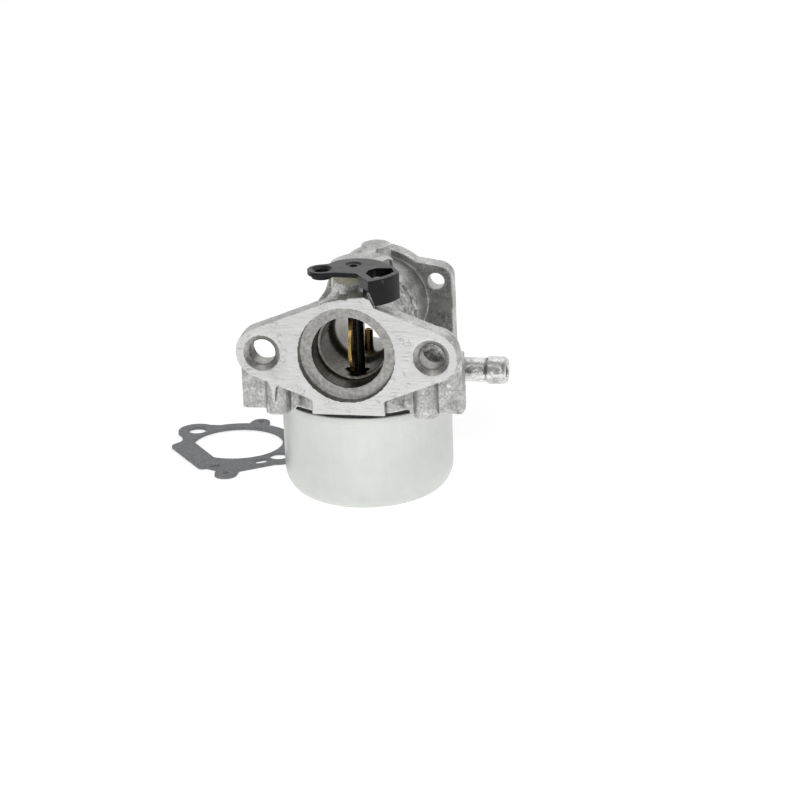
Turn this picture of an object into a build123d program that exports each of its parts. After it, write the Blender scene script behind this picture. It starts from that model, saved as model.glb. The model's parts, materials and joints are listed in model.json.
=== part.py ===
"""Small-engine float carburetor: die-cast body, pressed-steel bowl, plastic throttle and float.

Origin: centre of the bore on the engine flange face.
+Y runs along the bore to the air-cleaner side, +X to the fuel inlet, +Z up. Millimetres.
"""
import os
from math import cos, radians, sin

from build123d import *

# ---------------------------------------------------------------- driving dimensions
# engine flange
STUD_PITCH = 44.45          # 1 3/4 in
STUD_HOLE_R = 3.35
STUD_SINK_R = 4.82
STUD_SINK_DEPTH = 1.1
FLANGE_T = 5.2
LOBE_R = 6.9
LOBE_BACK = 6.5             # the lobes run this far back from the face
SPOT_R = 5.4                # spot faces for the stud nuts, cut into the bars behind the lobes
HUB_R = 15.0
TAB_HALF = 9.6
TAB_BOTTOM = -16.35
PAD_TOP = 15.8              # throttle stop pad on top of the flange

# bore along Y
RECESS_R = 12.7             # seal recess, 1 in across
RECESS_DEPTH = 2.25
ENTRY_R = 9.5
THROTTLE_R = 8.7
THROTTLE_START = 8.9
THROTTLE_END = 17.5
THROAT_R = 7.4
THROAT_START = 22.5
THROAT_END = 28.8
HORN_R = 11.4
TUBE_R = 12.4
SPIGOT_R = 12.7
SPIGOT_DEPTH = 3.3

# air-cleaner flange
CLEANER_FACE = 49.8
CLEANER_T = 4.6
CLEANER_DISC_R = 14.4
CLEANER_PITCH = 31.75       # 1 1/4 in
CLEANER_ANGLE = 20.3        # hole line above the horizontal
CLEANER_HOLE_R = 2.25

# top of the casting
TERRACE_Z = 17.6
FELT_SEAT_Z = 16.3          # flat cut for the felt round the throttle shaft
TERRACE_Y = 23.6
TERRACE_R = 8.2
THROTTLE_Y = 13.2
BOSS_R = 3.85
REAR_BOSS_X = 0.5
REAR_BOSS_Y = 39.0
REAR_BOSS_R = 3.87

# bowl cap and lower body
BOWL_Y = 22.75
CAP_R = 22.5
CAP_BOTTOM = -16.35
CAP_TOP = -11.6
BODY_HALF = 29.1
BAR_BACK = 9.6
BAR_TOP = -1.0
BAR_BOTTOM = -16.9
SCREW_BOSS_X = 19.5
SCREW_BOSS_Y = 4.8
SCREW_BOSS_R = 3.2
SCREW_BOSS_BOTTOM = -17.5

# fuel inlet
INLET_Y = 22.8
INLET_Z = -10.7
INLET_R = 3.175             # 1/4 in hose tube
INLET_END = 37.6
INLET_BEAD_START = 32.2
INLET_BEAD_R = 3.62
INLET_BORE_R = 1.9

# float bowl
BOWL_R_TOP = 22.34
BOWL_R_BOTTOM = 22.09
BOWL_RIM = -17.25
BOWL_BOTTOM = -44.2
BOWL_CORNER_R = 7.4
BOWL_WALL = 0.8
BOWL_BAND = 2.2
SUMP_R = 8.4
SUMP_RISE = 4.2

# bowl seal, nut and washer
SEAL_R_IN = 20.2
SEAL_R_OUT = 21.9
SEAL_TOP = -15.3
NUT_FLATS = 10.0
NUT_HEAD_T = 2.8
NUT_SHANK_R = 2.95
WASHER_R = 6.4
WASHER_T = 1.0

# centre post and jets
POST_R = 5.0
NOZZLE_Y = 27.8
NOZZLE_R = 1.2
NOZZLE_TOP = -2.2
NOZZLE_BOTTOM = -30.0
WELL_WALL_R = 2.9
WELL_BOTTOM = -36.4
JET_R = 1.5
JET_LENGTH = 4.6

# idle circuit and air jets
PILOT_X = -5.4
PILOT_Y = 18.2
IDLE_Y = 18.5
IDLE_Z = 1.0
IDLE_R = 3.2
IDLE_X = -14.0
PASSAGE_Z = -14.2
PASSAGE_R = 1.2
AIR_JET_X = 4.6
AIR_JET_Z = -9.2
AIR_JET_R = 1.3

# throttle
SHAFT_R = 2.0
SHAFT_BOTTOM = -11.2
FELT_R = 5.2
LEVER_BOTTOM = 19.0
LEVER_T = 1.3
LEVER_TOP = LEVER_BOTTOM + LEVER_T
LINK_X = -7.5
LINK_Y = 9.0
LINK_R = 3.73
LINK_HOLE_R = 1.78
SKIRT_R = 14.7
SKIRT_WALL = 1.4
SKIRT_BOTTOM = 13.3
RIM_BOTTOM = 17.85
RELIEF_ARC = 46.0           # the skirt's sweep over the terrace, degrees
PLATE_T = 0.8
PLATE_CLOSED_ANGLE = 14.0
RUNNING = 0.05

# float and inlet valve
HINGE_X = 18.0
HINGE_Z = -19.6
PIN_R = 0.8
DROOP = 6.0                 # the empty float hangs this far below level, degrees
FLOAT_R_OUT = 19.4
FLOAT_R_IN = 9.0
FLOAT_TOP = -5.4            # below the hinge, with the float level
FLOAT_HEIGHT = 11.0
FLOAT_WALL = 0.8
FLOAT_CUT = -7.0            # the float stops this far short of the hinge
NEEDLE_X = 13.0
NEEDLE_R = 1.5
NEEDLE_LIFT = (HINGE_X - NEEDLE_X) * radians(DROOP)
SEAT_FACE = -13.2

# loose air-cleaner gasket, lying beside the bowl
GASKET_X = -42.0
GASKET_Y = 50.1
GASKET_TURN = -54.0
GASKET_T = 0.8
GASKET_HOLE_R = 12.1
GASKET_CHORD = -9.9
GASKET_BOLT_R = 2.45

os.makedirs("parts", exist_ok=True)

cleaner_back = CLEANER_FACE - CLEANER_T
cleaner_bolts = [
    (side * CLEANER_PITCH / 2 * cos(radians(CLEANER_ANGLE)),
     side * CLEANER_PITCH / 2 * sin(radians(CLEANER_ANGLE)))
    for side in (1, -1)
]
bowl_axis = Axis((0, BOWL_Y, 0), (0, 0, 1))
bowl_section = Plane.XZ.offset(-BOWL_Y)


def save(piece, name):
    """Label a finished piece and write its STEP file."""
    piece.part.label = name
    export_step(piece.part, f"parts/{name}.step")


def cleaner_outline():
    """Outline shared by the air-cleaner flange and its gasket, seen from the engine side."""
    with BuildLine() as outline:
        FilletPolyline(
            (-9.3, -11.8), (-7.6, -16.4), (12.7, -16.4), (12.9, -11.0), (19.2, -9.6), (19.2, 9.35),
            (9.0, 10.95), (-9.0, 11.2), (-13.0, 8.3), (-15.2, 1.9), (-20.4, -5.4), (-18.6, -9.4),
            radius=(0.8, 1.5, 1.5, 0.8, 3.0, 4.0, 2.0, 2.0, 2.0, 2.0, 2.5, 2.5), close=True,
        )
    return outline.line


# ---------------------------------------------------------------- carburetor body
with BuildPart() as body:
    # engine flange: hub and two stud lobes, with the bottom tab and the throttle stop pad
    with BuildSketch(Plane.XZ):
        Circle(HUB_R)
        with Locations((STUD_PITCH / 2, 0), (-STUD_PITCH / 2, 0)):
            Circle(LOBE_R)
        make_hull()
        with BuildLine():
            Polyline((-TAB_HALF, -8), (-TAB_HALF, TAB_BOTTOM), (TAB_HALF, TAB_BOTTOM), (TAB_HALF, -8),
                     (-TAB_HALF, -8))
        make_face()
        with BuildLine():
            Polyline((0.4, 12), (0.8, PAD_TOP - 0.4), (5.2, PAD_TOP), (6.7, PAD_TOP - 0.4), (7.6, 13.4),
                     (7.6, 10), (0.4, 12))
        make_face()
    extrude(amount=-FLANGE_T)

    # bore tube: slightly barrelled, then a plain cylinder up to the air-cleaner flange
    with BuildSketch(Plane.YZ):
        with BuildLine():
            ThreePointArc((4, 11.2), (20, 12.3), (31.8, 11.9))
            Polyline((31.8, 11.9), (32.3, 11.6), (32.6, TUBE_R), (cleaner_back, TUBE_R), (cleaner_back, 0),
                     (4, 0), (4, 11.2))
        make_face()
    revolve(axis=Axis.Y)

    # air-cleaner flange
    with BuildSketch(Plane.XZ.offset(-cleaner_back)):
        Circle(CLEANER_DISC_R)
        add(make_face(cleaner_outline(), mode=Mode.PRIVATE))
        with Locations((16.0, -10.6)):
            RectangleRounded(6.4, 11.6, 1.5)
    extrude(amount=-CLEANER_T)

    # bowl cap, its front bar behind the flange, and the webs between them
    with BuildSketch(Plane.XY.offset(CAP_BOTTOM)):
        with Locations((0, BOWL_Y)):
            Circle(CAP_R)
        with BuildLine():
            Polyline((-BODY_HALF, FLANGE_T), (BODY_HALF, FLANGE_T), (BODY_HALF, BAR_BACK), (20.5, 21),
                     (-20.5, 21), (-BODY_HALF, BAR_BACK), (-BODY_HALF, FLANGE_T))
        make_face()
    extrude(amount=CAP_TOP - CAP_BOTTOM)
    with BuildSketch(Plane.XY.offset(BAR_BOTTOM)):
        with Locations((0, (FLANGE_T + BAR_BACK) / 2)):
            Rectangle(2 * BODY_HALF, BAR_BACK - FLANGE_T)
            Rectangle(30, BAR_BACK - FLANGE_T, mode=Mode.SUBTRACT)
    extrude(amount=BAR_TOP - BAR_BOTTOM)
    with BuildSketch(Plane.XY.offset(CAP_BOTTOM)):
        with Locations((0, (FLANGE_T + BAR_BACK) / 2)):
            Rectangle(32, BAR_BACK - FLANGE_T)
    extrude(amount=BAR_TOP - CAP_BOTTOM)
    with BuildSketch(Plane.XZ.offset(-FLANGE_T + 1)):
        with Locations((STUD_PITCH / 2, 0), (-STUD_PITCH / 2, 0)):
            Circle(LOBE_R - 0.3)
    extrude(amount=FLANGE_T - 1 - LOBE_BACK)

    # saddle joining the bore tube to the cap, and the fuel inlet rib
    with BuildSketch(Plane.XY.offset(CAP_BOTTOM)):
        with Locations((0, (FLANGE_T + cleaner_back) / 2)):
            Rectangle(22.4, cleaner_back - FLANGE_T + 1)
    extrude(amount=-CAP_BOTTOM)
    with BuildSketch(Plane.YZ.offset(6)):
        with Locations((INLET_Y, INLET_Z)):
            Circle(4.6)
        with Locations((INLET_Y, INLET_Z - 3)):
            Rectangle(9.2, 6)
    extrude(amount=19.3)
    with BuildSketch(Plane.YZ.offset(12)):
        with Locations((INLET_Y, INLET_Z + 4.0)):
            Circle(3.6)
    extrude(amount=10)

    # screw bosses below the stud lobes, and the small gate rib on the left one
    for side in (-1, 1):
        with BuildSketch(Plane.XY.offset(SCREW_BOSS_BOTTOM)):
            with Locations((side * SCREW_BOSS_X, SCREW_BOSS_Y)):
                Circle(SCREW_BOSS_R)
        extrude(amount=-SCREW_BOSS_BOTTOM - 3)
    with BuildSketch(Plane.XZ):
        with BuildLine():
            Polyline((-22.2, -5.5), (-20.3, -9.5), (-19.9, -13.4), (-19.3, -13.4), (-18.9, -9.5), (-16.5, -5.5),
                     (-22.2, -5.5))
        make_face()
    extrude(amount=-2.6)

    # throttle shaft boss, round terrace, neck and undrilled rear boss, all level on top
    with BuildSketch(Plane.XY.offset(4)):
        with Locations((0, THROTTLE_Y)):
            Circle(BOSS_R)
        with Locations((0, TERRACE_Y)):
            Circle(TERRACE_R)
        with Locations((REAR_BOSS_X, REAR_BOSS_Y)):
            Circle(REAR_BOSS_R)
        with Locations((0.2, 34)):
            Rectangle(3.0, 12)
    extrude(amount=TERRACE_Z - 4)

    # felt seat
    with BuildSketch(Plane.XY.offset(FELT_SEAT_Z)):
        with Locations((0, THROTTLE_Y)):
            Circle(FELT_R + 0.1)
    extrude(amount=TERRACE_Z - FELT_SEAT_Z + 1, mode=Mode.SUBTRACT)

    # relief in the terrace for the sweep of the lever's skirt
    with BuildSketch(Plane.XY.offset(SKIRT_BOTTOM - 0.6)):
        with BuildLine():
            inner = CenterArc((0, THROTTLE_Y), SKIRT_R - SKIRT_WALL - 1.5, 20, RELIEF_ARC)
            outer = CenterArc((0, THROTTLE_Y), SKIRT_R + 0.5, 20, RELIEF_ARC)
            Line(inner @ 0, outer @ 0)
            Line(inner @ 1, outer @ 1)
        make_face()
    extrude(amount=10, mode=Mode.SUBTRACT)

    # idle chamber boss on the left of the bore tube
    with BuildSketch(Plane.YZ.offset(IDLE_X)):
        with Locations((IDLE_Y, IDLE_Z)):
            Circle(IDLE_R + 1.0)
    extrude(amount=6)

    # fuel inlet tube with its hose bead
    with BuildSketch(Plane.XY.offset(INLET_Z)):
        with BuildLine():
            Polyline((24, INLET_Y), (24, INLET_Y + INLET_R), (INLET_BEAD_START, INLET_Y + INLET_R),
                     (INLET_BEAD_START + 0.5, INLET_Y + INLET_BEAD_R),
                     (INLET_END - 0.9, INLET_Y + INLET_BEAD_R), (INLET_END, INLET_Y + INLET_R),
                     (INLET_END, INLET_Y), (24, INLET_Y))
        make_face()
    revolve(axis=Axis((0, INLET_Y, INLET_Z), (1, 0, 0)))

    # centre post for the bowl nut, with the nozzle well beside it
    with BuildSketch(Plane.XY.offset(CAP_BOTTOM)):
        with Locations((0, BOWL_Y)):
            Circle(POST_R)
    extrude(amount=BOWL_BOTTOM + SUMP_RISE + BOWL_WALL - CAP_BOTTOM)
    with BuildSketch(Plane.XY.offset(CAP_BOTTOM)):
        with Locations((0, NOZZLE_Y)):
            Circle(WELL_WALL_R)
    extrude(amount=WELL_BOTTOM - CAP_BOTTOM)

    # seat boss, pilot jet boss and the two hinge lugs under the cap
    for x, y, r, bottom in ((NEEDLE_X, BOWL_Y, 3.4, -18.0), (PILOT_X, PILOT_Y, 2.4, -21.0)):
        with BuildSketch(Plane.XY.offset(bottom)):
            with Locations((x, y)):
                Circle(r)
        extrude(amount=CAP_TOP - bottom)
    with BuildSketch(Plane.XY.offset(HINGE_Z - 1.6)):
        with Locations((HINGE_X, BOWL_Y - 5.2), (HINGE_X, BOWL_Y + 5.2)):
            Rectangle(3.2, 2.0)
    extrude(amount=CAP_BOTTOM - HINGE_Z + 2.0)

    # machined bore
    with BuildSketch(Plane.YZ):
        with BuildLine():
            Polyline((-1, 0), (-1, RECESS_R), (RECESS_DEPTH, RECESS_R), (RECESS_DEPTH, ENTRY_R),
                     (THROTTLE_START, ENTRY_R), (THROTTLE_START, THROTTLE_R), (THROTTLE_END, THROTTLE_R))
            Spline((THROTTLE_END, THROTTLE_R), (THROAT_START, THROAT_R), tangents=((1, 0), (1, 0)))
            Line((THROAT_START, THROAT_R), (THROAT_END, THROAT_R))
            Spline((THROAT_END, THROAT_R), (CLEANER_FACE - SPIGOT_DEPTH, HORN_R), tangents=((1, 0), (1, 0.5)))
            Polyline((CLEANER_FACE - SPIGOT_DEPTH, HORN_R), (CLEANER_FACE - SPIGOT_DEPTH, SPIGOT_R),
                     (CLEANER_FACE + 1, SPIGOT_R), (CLEANER_FACE + 1, 0), (-1, 0))
        make_face()
    revolve(axis=Axis.Y, mode=Mode.SUBTRACT)

    # stud holes with their wide countersinks
    with Locations(Plane.XZ):
        with Locations((STUD_PITCH / 2, 0), (-STUD_PITCH / 2, 0)):
            Cylinder(STUD_HOLE_R, 60, mode=Mode.SUBTRACT)
    for side in (-1, 1):
        with BuildSketch(Plane.XZ):
            with Locations((side * STUD_PITCH / 2, 0)):
                Circle(STUD_SINK_R)
        with BuildSketch(Plane.XZ.offset(-STUD_SINK_DEPTH)):
            with Locations((side * STUD_PITCH / 2, 0)):
                Circle(STUD_HOLE_R)
        loft(mode=Mode.SUBTRACT)
    with BuildSketch(Plane.XZ.offset(-LOBE_BACK)):
        with Locations((STUD_PITCH / 2, 0), (-STUD_PITCH / 2, 0)):
            Circle(SPOT_R)
    extrude(amount=LOBE_BACK - BAR_BACK, mode=Mode.SUBTRACT)

    # air-cleaner screw holes
    with BuildSketch(Plane.XZ.offset(-cleaner_back + 1)):
        with Locations(*cleaner_bolts):
            Circle(CLEANER_HOLE_R)
    extrude(amount=-CLEANER_T - 2, mode=Mode.SUBTRACT)

    # throttle shaft bore, blind at the bottom, countersunk where it meets the main bore
    with BuildSketch(Plane.XY.offset(TERRACE_Z + 1)):
        with Locations((0, THROTTLE_Y)):
            Circle(SHAFT_R + RUNNING)
    extrude(amount=SHAFT_BOTTOM - TERRACE_Z - 1.4, mode=Mode.SUBTRACT)
    with BuildSketch(Plane.XY.offset(-9.6)):
        with Locations((0, THROTTLE_Y)):
            Circle(SHAFT_R + RUNNING)
    extrude(amount=2.0, taper=-45, mode=Mode.SUBTRACT)

    # nozzle well, main jet seat and pilot jet seat
    with BuildSketch(Plane.XY.offset(WELL_BOTTOM - 1)):
        with Locations((0, NOZZLE_Y)):
            Circle(JET_R)
    extrude(amount=JET_LENGTH + 1, mode=Mode.SUBTRACT)
    with BuildSketch(Plane.XY.offset(WELL_BOTTOM)):
        with Locations((0, NOZZLE_Y)):
            Circle(NOZZLE_R)
    extrude(amount=-WELL_BOTTOM - 5, mode=Mode.SUBTRACT)
    with BuildSketch(Plane.XY.offset(-22)):
        with Locations((PILOT_X, PILOT_Y)):
            Circle(1.4)
    extrude(amount=8, mode=Mode.SUBTRACT)

    # bowl nut thread
    with BuildSketch(Plane.XY.offset(BOWL_BOTTOM)):
        with Locations((0, BOWL_Y)):
            Circle(NUT_SHANK_R + RUNNING)
    extrude(amount=18, mode=Mode.SUBTRACT)

    # groove for the bowl seal
    with BuildSketch(Plane.XY.offset(CAP_BOTTOM - 1)):
        with Locations((0, BOWL_Y)):
            Circle(SEAL_R_OUT)
            Circle(SEAL_R_IN, mode=Mode.SUBTRACT)
    extrude(amount=SEAL_TOP - CAP_BOTTOM + 1, mode=Mode.SUBTRACT)

    # fuel passage, needle guide and hinge pin bore
    with BuildSketch(Plane.YZ.offset(INLET_END + 1)):
        with Locations((INLET_Y, INLET_Z)):
            Circle(INLET_BORE_R)
    extrude(amount=NEEDLE_X - INLET_END - 2.5, mode=Mode.SUBTRACT)
    with BuildSketch(Plane.XY.offset(-19)):
        with Locations((NEEDLE_X, BOWL_Y)):
            Circle(NEEDLE_R + 0.15)
    extrude(amount=8, mode=Mode.SUBTRACT)
    with BuildSketch(Plane.XZ.offset(-BOWL_Y + 7)):
        with Locations((HINGE_X, HINGE_Z)):
            Circle(PIN_R)
    extrude(amount=-14, mode=Mode.SUBTRACT)

    # idle chamber with its two transfer holes, and the drilled passage with a ball in its mouth
    with BuildSketch(Plane.YZ.offset(IDLE_X - 0.5)):
        with Locations((IDLE_Y, IDLE_Z)):
            Circle(IDLE_R)
    extrude(amount=2.6, mode=Mode.SUBTRACT)
    with BuildSketch(Plane.YZ.offset(-13)):
        with Locations((IDLE_Y - 2.1, IDLE_Z - 0.4), (IDLE_Y + 0.1, IDLE_Z - 0.4)):
            Circle(0.5)
    extrude(amount=6, mode=Mode.SUBTRACT)
    with BuildSketch(Plane.XZ.offset(-40)):
        with Locations((PILOT_X, PASSAGE_Z)):
            Circle(PASSAGE_R)
    extrude(amount=22, mode=Mode.SUBTRACT)

    # air jets drilled into the horn from the air-cleaner side
    with BuildSketch(Plane.XZ.offset(-CLEANER_FACE)):
        with Locations((-AIR_JET_X, AIR_JET_Z), (AIR_JET_X, AIR_JET_Z)):
            Circle(AIR_JET_R)
    extrude(amount=14, mode=Mode.SUBTRACT)
save(body, "carburetor_body")

# ---------------------------------------------------------------- fuel metering, inside the body
with BuildPart() as nozzle:
    with BuildSketch(Plane.XY.offset(NOZZLE_BOTTOM)):
        with Locations((0, NOZZLE_Y)):
            Circle(NOZZLE_R)
    extrude(amount=NOZZLE_TOP - NOZZLE_BOTTOM)
    fillet(nozzle.edges().group_by(Axis.Z)[-1], 0.4)
    with BuildSketch(Plane.XY.offset(NOZZLE_BOTTOM - 1)):
        with Locations((0, NOZZLE_Y)):
            Circle(0.6)
    extrude(amount=NOZZLE_TOP - NOZZLE_BOTTOM + 2, mode=Mode.SUBTRACT)
    for z in (-15.5, -18.5, -21.5, -24.5):
        with Locations((0, NOZZLE_Y, z)):
            Cylinder(0.3, 4, rotation=(90, 0, 0), mode=Mode.SUBTRACT)
    with BuildSketch(Plane.XY.offset(-12.9)):
        with Locations((0, NOZZLE_Y)):
            Circle(NOZZLE_R + 0.1)
            Circle(NOZZLE_R - 0.3, mode=Mode.SUBTRACT)
    extrude(amount=1.0, mode=Mode.SUBTRACT)
save(nozzle, "main_nozzle")

with BuildPart() as nozzle_ring:
    with BuildSketch(Plane.XZ.offset(-NOZZLE_Y)):
        with Locations((NOZZLE_R - 0.15, -12.4)):
            RectangleRounded(0.28, 0.8, 0.1)
    revolve(axis=Axis((0, NOZZLE_Y, 0), (0, 0, 1)))
save(nozzle_ring, "nozzle_o_ring")

with BuildPart() as main_jet:
    with BuildSketch(Plane.XY.offset(WELL_BOTTOM)):
        with Locations((0, NOZZLE_Y)):
            Circle(JET_R)
            Circle(0.4, mode=Mode.SUBTRACT)
    extrude(amount=JET_LENGTH - 0.2)
    with BuildSketch(Plane.XY.offset(WELL_BOTTOM)):
        with Locations((0, NOZZLE_Y)):
            Rectangle(6, 0.7)
    extrude(amount=0.8, mode=Mode.SUBTRACT)
save(main_jet, "main_jet")

with BuildPart() as pilot_jet:
    with BuildSketch(Plane.XY.offset(-20.8)):
        with Locations((PILOT_X, PILOT_Y)):
            Circle(1.38)
            Circle(0.3, mode=Mode.SUBTRACT)
    extrude(amount=5.5)
    with BuildSketch(Plane.XY.offset(-20.8)):
        with Locations((PILOT_X, PILOT_Y)):
            Rectangle(4, 0.5)
    extrude(amount=0.6, mode=Mode.SUBTRACT)
save(pilot_jet, "pilot_jet")

with BuildPart() as air_jets:
    with BuildSketch(Plane.XZ.offset(-36.2)):
        with Locations((-AIR_JET_X, AIR_JET_Z), (AIR_JET_X, AIR_JET_Z)):
            Circle(AIR_JET_R - 0.02)
            Circle(0.45, mode=Mode.SUBTRACT)
    extrude(amount=-4.0)
save(air_jets, "air_bleed_jets")

with BuildPart() as idle_plug:
    with BuildSketch(Plane.YZ.offset(IDLE_X + 0.1)):
        with Locations((IDLE_Y, IDLE_Z)):
            Circle(IDLE_R - 0.02)
    extrude(amount=0.6)
    fillet(idle_plug.edges().sort_by(Axis.X)[0], 0.3)
save(idle_plug, "idle_chamber_plug")

with BuildPart() as ball_plug:
    with Locations((PILOT_X, 38.6, PASSAGE_Z)):
        Sphere(PASSAGE_R - 0.01)
save(ball_plug, "passage_ball_plug")

# ---------------------------------------------------------------- inlet valve
with BuildPart() as seat:
    with BuildSketch(Plane.XY.offset(SEAT_FACE)):
        with Locations((NEEDLE_X, BOWL_Y)):
            Circle(NEEDLE_R + 0.14)
            Circle(0.75, mode=Mode.SUBTRACT)
    extrude(amount=1.6)
save(seat, "inlet_seat")

with BuildPart() as needle:
    low = HINGE_Z - 1.3 - NEEDLE_LIFT
    tip_base = SEAT_FACE - NEEDLE_LIFT - 1.9
    with BuildSketch(Plane.XZ.offset(-BOWL_Y)):
        with BuildLine():
            Polyline((NEEDLE_X, low), (NEEDLE_X + 1.1, low), (NEEDLE_X + 1.1, low + 0.5),
                     (NEEDLE_X + 0.6, low + 0.7), (NEEDLE_X + 0.6, low + 1.3), (NEEDLE_X + NEEDLE_R, low + 1.7),
                     (NEEDLE_X + NEEDLE_R, tip_base), (NEEDLE_X + 0.7, tip_base), (NEEDLE_X + 0.7, tip_base + 0.6),
                     (NEEDLE_X, tip_base + 0.6), (NEEDLE_X, low))
        make_face()
    revolve(axis=Axis((NEEDLE_X, BOWL_Y, 0), (0, 0, 1)))
    for turn in (90, 210, 330):
        with Locations(Plane((NEEDLE_X, BOWL_Y, low + 3.6)).rotated((0, 0, turn))):
            with Locations((2.1, 0, 0)):
                Box(1.6, 4, 3.4, mode=Mode.SUBTRACT)
save(needle, "inlet_needle")

with BuildPart() as needle_tip:
    with BuildSketch(Plane.XZ.offset(-BOWL_Y)):
        with BuildLine():
            Polyline((NEEDLE_X, tip_base + 0.6), (NEEDLE_X + 0.7, tip_base + 0.6), (NEEDLE_X + 0.7, tip_base),
                     (NEEDLE_X + 1.3, tip_base), (NEEDLE_X + 1.3, tip_base + 0.3), (NEEDLE_X + 0.35, tip_base + 1.7),
                     (NEEDLE_X, tip_base + 1.7), (NEEDLE_X, tip_base + 0.6))
        make_face()
    revolve(axis=Axis((NEEDLE_X, BOWL_Y, 0), (0, 0, 1)))
save(needle_tip, "needle_tip")

# ---------------------------------------------------------------- float, drawn on its drooping hinge plane
droop = Plane(origin=(HINGE_X, BOWL_Y, HINGE_Z), x_dir=(cos(radians(DROOP)), 0, sin(radians(DROOP))),
              z_dir=(-sin(radians(DROOP)), 0, cos(radians(DROOP))))
droop_side = Plane(origin=droop.origin, x_dir=droop.x_dir, z_dir=(0, -1, 0))


def float_ring(wall):
    """The float's plan: a ring about the post, cut back beside the inlet valve."""
    with Locations((-HINGE_X, 0)):
        Circle(FLOAT_R_OUT - wall)
        Circle(FLOAT_R_IN + wall, mode=Mode.SUBTRACT)
    with Locations((FLOAT_CUT - wall + 10, 0)):
        Rectangle(20, 60, mode=Mode.SUBTRACT)


with BuildPart() as float_shell:
    with BuildSketch(droop.offset(FLOAT_TOP - FLOAT_HEIGHT)):
        float_ring(0)
    extrude(amount=FLOAT_HEIGHT)
    with BuildSketch(droop.offset(FLOAT_TOP - FLOAT_HEIGHT + 1.2)):
        float_ring(FLOAT_WALL)
    extrude(amount=FLOAT_HEIGHT, mode=Mode.SUBTRACT)
save(float_shell, "float_shell")

with BuildPart() as float_lid:
    with BuildSketch(droop.offset(FLOAT_TOP)):
        float_ring(0)
    extrude(amount=0.9)
    # hinge arms and the tab that lifts the needle
    for y in (-3.2, 3.2):
        with BuildSketch(droop_side.offset(y - 0.7)):
            with BuildLine():
                Polyline((-11, FLOAT_TOP + 0.2), (-11, FLOAT_TOP + 0.9), (-8, FLOAT_TOP + 1.4), (-1.4, 1.1),
                         (1.2, -1.3), (-5, FLOAT_TOP + 0.2), (-11, FLOAT_TOP + 0.2))
            make_face()
        extrude(amount=1.4)
    with BuildSketch(droop_side.offset(-2.6)):
        with Locations((-5.1, -1.95)):
            Rectangle(3.8, 1.0)
    extrude(amount=5.2)
    with BuildSketch(droop_side.offset(-4.0)):
        Circle(1.8)
    extrude(amount=8.0)
    with BuildSketch(droop_side.offset(-4.5)):
        Circle(PIN_R + RUNNING)
    extrude(amount=9.0, mode=Mode.SUBTRACT)
save(float_lid, "float_lid")

with BuildPart() as hinge_pin:
    with BuildSketch(Plane.XZ.offset(-BOWL_Y + 6.6)):
        with Locations((HINGE_X, HINGE_Z)):
            Circle(PIN_R - 0.01)
    extrude(amount=-13.2)
    chamfer(hinge_pin.edges().filter_by(GeomType.CIRCLE), 0.15)
save(hinge_pin, "float_hinge_pin")

with BuildPart() as clip:
    with BuildLine():
        hook = FilletPolyline(
            (NEEDLE_X - 0.85, BOWL_Y, low + 1.0), (NEEDLE_X - 2.7, BOWL_Y, low + 1.0),
            (NEEDLE_X - 2.7, BOWL_Y, low - 2.4), (NEEDLE_X - 0.6, BOWL_Y, low - 2.4), radius=0.6)
    with BuildSketch(Plane(hook @ 0, z_dir=hook % 0)):
        Circle(0.2)
    sweep()
    with Locations((NEEDLE_X, BOWL_Y, low + 1.0)):
        Torus(0.85, 0.2)
save(clip, "needle_clip")

# ---------------------------------------------------------------- float bowl and its fastening
with BuildPart() as bowl:
    base_r = BOWL_R_BOTTOM - BOWL_CORNER_R
    shelf = BOWL_BOTTOM + SUMP_RISE
    corner = BOWL_CORNER_R * (1 - sin(radians(45)))
    with BuildSketch(bowl_section):
        with BuildLine():
            Line((NUT_SHANK_R + 0.15, shelf), (SUMP_R - 0.6, shelf))
            Line((SUMP_R - 0.6, shelf), (SUMP_R + 0.7, BOWL_BOTTOM))
            Line((SUMP_R + 0.7, BOWL_BOTTOM), (base_r, BOWL_BOTTOM))
            ThreePointArc((base_r, BOWL_BOTTOM), (BOWL_R_BOTTOM - corner, BOWL_BOTTOM + corner),
                          (BOWL_R_BOTTOM, BOWL_BOTTOM + BOWL_CORNER_R))
            Polyline((BOWL_R_BOTTOM, BOWL_BOTTOM + BOWL_CORNER_R), (BOWL_R_TOP - 0.2, BOWL_RIM - BOWL_BAND - 0.3),
                     (BOWL_R_TOP, BOWL_RIM - BOWL_BAND), (BOWL_R_TOP, BOWL_RIM),
                     (BOWL_R_TOP - BOWL_WALL, BOWL_RIM),
                     (BOWL_R_TOP - BOWL_WALL - 0.2, BOWL_RIM - BOWL_BAND - 0.3),
                     (BOWL_R_BOTTOM - BOWL_WALL, BOWL_BOTTOM + BOWL_CORNER_R))
            inner_corner = (BOWL_CORNER_R - BOWL_WALL) * sin(radians(45))
            ThreePointArc((BOWL_R_BOTTOM - BOWL_WALL, BOWL_BOTTOM + BOWL_CORNER_R),
                          (base_r + inner_corner, BOWL_BOTTOM + BOWL_CORNER_R - inner_corner),
                          (base_r, BOWL_BOTTOM + BOWL_WALL))
            Polyline((base_r, BOWL_BOTTOM + BOWL_WALL), (SUMP_R + 1.25, BOWL_BOTTOM + BOWL_WALL),
                     (SUMP_R - 0.05, shelf + BOWL_WALL), (NUT_SHANK_R + 0.15, shelf + BOWL_WALL),
                     (NUT_SHANK_R + 0.15, shelf))
        make_face()
    revolve(axis=bowl_axis)
save(bowl, "float_bowl")

with BuildPart() as bowl_seal:
    with BuildSketch(Plane.XY.offset(BOWL_RIM)):
        with Locations((0, BOWL_Y)):
            Circle(SEAL_R_OUT)
            Circle(SEAL_R_IN + 0.05, mode=Mode.SUBTRACT)
    extrude(amount=SEAL_TOP - BOWL_RIM)
save(bowl_seal, "bowl_seal")

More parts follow.
